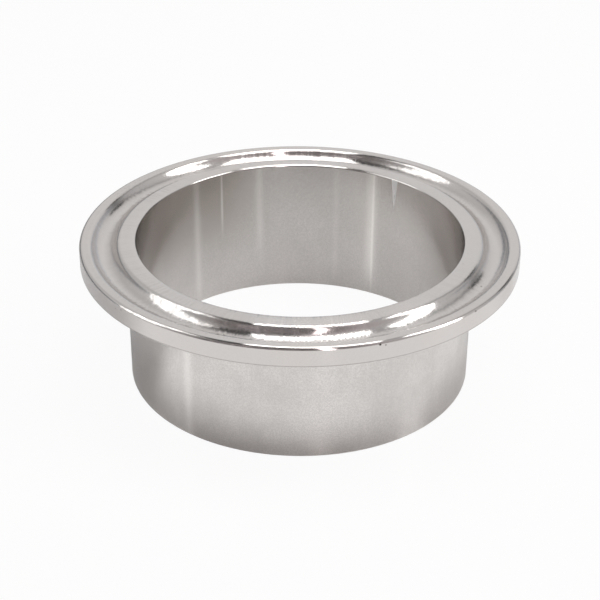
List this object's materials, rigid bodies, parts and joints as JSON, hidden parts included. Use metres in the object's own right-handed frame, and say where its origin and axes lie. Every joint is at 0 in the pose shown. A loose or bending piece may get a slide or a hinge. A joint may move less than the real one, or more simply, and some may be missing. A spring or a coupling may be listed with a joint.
{
  "type": "sanitary clamp ferrule",
  "caption": "Stainless clamp ferrule: a short weld-on tube stub under a round flange with a gasket groove in its sealing face and a tapered back.",
  "frame": {"origin": "centre of the square-cut weld end, on the bore's axis", "axes": "+Z along the bore from the weld end towards the sealing face; X and Y are free, as the part is round"},
  "size_m": [0.064, 0.064, 0.0215],
  "materials": {
    "polished_stainless": "mirror-polished flange and groove, fine-turned satin bore and tube"
  },
  "bodies": {
    "root": {"ferrule": "polished_stainless"}
  },
  "joints": []
}
